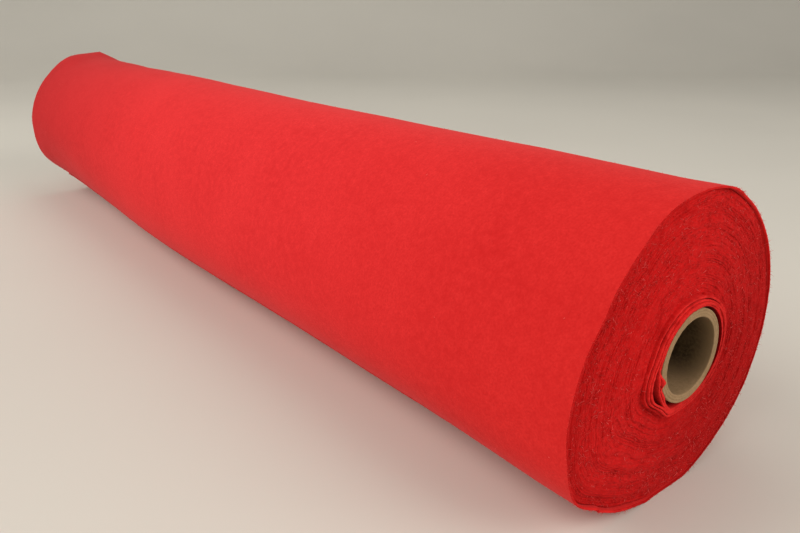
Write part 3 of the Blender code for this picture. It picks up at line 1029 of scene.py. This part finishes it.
def strands(name, roots, heading, sizes, width, seed, rings=3):
    """Many tapered three-sided fibres, each bent along a parabola from its root.

    Roots and headings are (n, 3), and the heading's own length is one.
    """
    random = np.random.default_rng(seed)
    number = len(roots)
    bend = random.normal(0.0, 1.0, (number, 3))
    bend = unit(bend - (bend * heading).sum(axis=1, keepdims=True) * heading)
    aside = np.cross(heading, bend)
    part = np.linspace(0.0, 1.0, rings)[None, :, None, None]
    angle = np.radians([0.0, 120.0, 240.0])[None, None, :, None]
    curl = random.uniform(0.2, 0.9, number)[:, None, None, None]
    long = sizes[:, None, None, None]
    lift = curl * part * part
    centre = roots[:, None, None, :] + long * (
        heading[:, None, None, :] * (part - 0.35 * curl * part**3) + bend[:, None, None, :] * lift
    )
    thick = 0.5 * width * (1.0 - 0.75 * part)
    spread = bend[:, None, None, :] * np.cos(angle) + aside[:, None, None, :] * np.sin(angle)
    points = centre + thick * spread
    points[..., 2] = np.maximum(points[..., 2], 0.02 * MM)
    block = np.arange(rings * 3).reshape(rings, 3)
    one = quads(np.hstack([block, block[:, :1]]))
    triangles = np.concatenate([one[:, [0, 1, 2]], one[:, [0, 2, 3]], [block[0], block[-1][::-1]]])
    faces = (np.arange(number)[:, None, None] * rings * 3 + triangles[None]).reshape(-1, 3)
    return add_piece(name, points, faces)


def spread_headings(number, outwards, stand, random):
    """Directions that lie along a surface, standing off it by a share."""
    flat = random.normal(0.0, 1.0, (number, 3))
    flat = unit(flat - (flat * outwards).sum(axis=1, keepdims=True) * outwards)
    rise = random.uniform(*stand, number)[:, None]
    return unit(flat * np.sqrt(1.0 - rise**2) + outwards * rise)


def face_roots(scene, number, far, random):
    """Random places on an end face."""
    face = scene.face_sizes
    inward = face.turns * np.sqrt(random.uniform(0.0, 1.0, number))
    inward = face.turns - inward * 0.985
    around = np.sort(random.uniform(0.0, 1.0, number))
    make = far_face_points if far else near_face_points
    whole = make(scene, inward[None, :], around[None, :], np.zeros((1, number)))
    return whole[0]


class OBJECT_OT_loose_fibres(bpy.types.Operator):
    """Adds the loose fibres on the cut ends, along the rims and over the outside"""

    bl_idname = "object.felt_loose_fibres"
    bl_label = "Loose fibres"

    def execute(self, context):
        """Fibres rooted at random on each surface, lying along it and standing off it a little."""
        scene = context.scene
        fibre, roll, looks = scene.fibre_sizes, scene.roll_sizes, scene.looks
        random = np.random.default_rng(81)
        red = fibre_surface("red_wool_fibres", looks.fibre, looks)
        pale = fibre_surface("undyed_wool_fibres", looks.fibre_pale, looks)
        near_out = np.array([[1.0, 0.0, 0.0]])
        for name, number, far, longest, surface in (
            ("near_end_fibres", fibre.near, False, 1.6, red),
            ("near_end_pale_fibres", fibre.pale, False, 2.0, pale),
            ("far_end_fibres", fibre.far, True, 1.6, red),
        ):
            roots = face_roots(scene, number, far, random)
            heading = spread_headings(number, -near_out if far else near_out, (0.05, 0.7), random)
            sizes = fibre.short * random.uniform(0.6, longest, number)
            dress(strands(name, roots, heading, sizes, fibre.width, 82), surface, "felt")
        for name, number, stand, lengths, width, seed, rings, surface in (
            ("outside_nap", fibre.nap, (0.10, 0.65), (0.4, 1.1), 0.7, 83, 3, red),
            ("outside_pale_fibres", fibre.specks, (0.10, 0.4), (0.5, 1.4), 1.4, 85, 4, pale),
            ("rim_fibres", fibre.rim, (0.2, 0.95), (0.5, 1.5), 0.8, 84, 4, red),
        ):
            turn = random.uniform(0.0, 1.0, number)
            along = random.uniform(0.0, 1.0, number)
            at_rims = name == "rim_fibres"
            if at_rims:
                along = np.where(along < 0.6, 0.0, 1.0)
            roots, outwards = self.on_outside(roll, along, turn)
            if at_rims:
                outwards = unit(outwards + np.where(along < 0.5, 1.0, -1.0)[:, None] * near_out)
            heading = spread_headings(number, outwards, stand, random)
            sizes = fibre.short * random.uniform(*lengths, number)
            made = strands(name, roots, heading, sizes, width * fibre.width, seed, rings)
            dress(made, surface, "felt")
        return {"FINISHED"}

    @staticmethod
    def on_outside(roll, along, turn):
        """Places on the outside, one for each pair of along and turn, and which way is out there."""
        order = np.argsort(turn)
        points = np.zeros((len(turn), 3))
        for start in range(0, len(turn), 600):
            chosen = order[start : start + 600]
            block = outside(roll, along[chosen], turn[chosen], np.zeros(len(chosen)))
            points[chosen] = block[np.arange(len(chosen)), np.arange(len(chosen))]
        direction = np.radians(roll.seam + 360.0 * turn)
        out = np.stack([0.0 * direction, np.cos(direction), np.sin(direction)], axis=1)
        return points, out


def add_light(name, place, size, power):
    """A square soft light at a place, aimed at the roll."""
    data = bpy.data.lights.new(name, "AREA")
    data.shape = "SQUARE"
    data.size = size
    data.energy = power
    data.color = linear(LIGHT_TINT)
    lamp = bpy.data.objects.new(name, data)
    bpy.context.scene.collection.objects.link(lamp)
    away = np.array(LIGHT_TARGET) - np.array(place)
    away /= np.linalg.norm(away)
    yaw = math.atan2(-away[0], away[1])
    pitch = math.acos(-away[2])
    lamp.location = place
    lamp.rotation_euler = (pitch, 0.0, yaw)


class OBJECT_OT_stage(bpy.types.Operator):
    """Adds the pale floor and backdrop, the soft lights and the camera"""

    bl_idname = "object.felt_stage"
    bl_label = "Stage"

    def execute(self, context):
        """The backdrop is a floor that curves up into a wall behind the roll, across the view."""
        scene = context.scene
        stage, looks = scene.stage_sizes, scene.looks
        turn = math.radians(stage.turn)
        forward = np.array([-math.sin(turn), math.cos(turn)])
        side = np.array([math.cos(turn), math.sin(turn)])
        bend = np.radians(np.linspace(0.0, 90.0, 25))[1:]
        radius, start = 1.2, 1.7
        flat = np.linspace(-6.0, start, 12)
        wall = np.array([2.0, 3.5, 5.0])
        away = [flat, start + radius * np.sin(bend), start + radius + 0.0 * wall]
        away = np.concatenate(away)[:, None, None]
        up = np.concatenate([0.0 * flat, radius * (1.0 - np.cos(bend)), wall])[:, None, None]
        spread = np.linspace(-7.0, 7.0, 15)[None, :, None]
        plan = away * forward + spread * side
        points = np.concatenate([plan, up + 0.0 * spread], axis=-1)
        faces = quads(grid(*points.shape[:2], False, False), flip=True)
        floor = add_piece("backdrop", points, faces)
        floor.data.materials.append(floor_surface(looks))
        for light in LIGHTS:
            add_light(*light)
        world = bpy.data.worlds.new("studio")
        world.use_nodes = True
        sky = world.node_tree.nodes["Background"]
        sky.inputs["Color"].default_value = rgba(linear("#fffcf6"))
        sky.inputs["Strength"].default_value = 0.25
        scene.world = world
        data = bpy.data.cameras.new("camera")
        data.lens = stage.lens
        data.sensor_width = 36.0
        data.clip_start = 0.01
        data.clip_end = 50.0
        camera = bpy.data.objects.new("camera", data)
        scene.collection.objects.link(camera)
        camera.location = stage.camera
        camera.rotation_euler = (math.radians(90.0 - stage.pitch), 0.0, turn)
        scene.camera = camera
        scene.view_settings.view_transform = "Standard"
        return {"FINISHED"}


class VIEW3D_PT_felt_roll(bpy.types.Panel):
    """Lists the steps that build the roll of felt"""

    bl_label = "Felt roll"
    bl_space_type = "VIEW_3D"
    bl_region_type = "UI"
    bl_category = "Felt roll"

    def draw(self, context):
        """One button for each step."""
        for step in STEPS:
            self.layout.operator(step.bl_idname)


STEPS = (
    OBJECT_OT_outer_wraps,
    OBJECT_OT_near_end,
    OBJECT_OT_far_end,
    OBJECT_OT_inner_turns,
    OBJECT_OT_paper_tube,
    OBJECT_OT_loose_fibres,
    OBJECT_OT_stage,
)
GROUPS = {
    "roll_sizes": RollSizes,
    "face_sizes": FaceSizes,
    "inner_sizes": InnerSizes,
    "tube_sizes": TubeSizes,
    "fibre_sizes": FibreSizes,
    "looks": Looks,
    "stage_sizes": StageSizes,
}


def register():
    """Registers the groups, hangs them on the scene, and registers the steps and the panel."""
    for group in GROUPS.values():
        bpy.utils.register_class(group)
    for key, group in GROUPS.items():
        setattr(bpy.types.Scene, key, PointerProperty(type=group))
    for made in (*STEPS, VIEW3D_PT_felt_roll):
        bpy.utils.register_class(made)


def unregister():
    """Takes back what register did, in the opposite order."""
    for made in reversed((*STEPS, VIEW3D_PT_felt_roll)):
        bpy.utils.unregister_class(made)
    for key in GROUPS:
        delattr(bpy.types.Scene, key)
    for group in reversed(GROUPS.values()):
        bpy.utils.unregister_class(group)


def main():
    """Makes every piece and the stage."""
    register()
    bpy.ops.object.felt_outer_wraps()
    bpy.ops.object.felt_near_end()
    bpy.ops.object.felt_far_end()
    bpy.ops.object.felt_inner_turns()
    bpy.ops.object.felt_paper_tube()
    bpy.ops.object.felt_loose_fibres()
    bpy.ops.object.felt_stage()


if __name__ == "__main__":
    main()
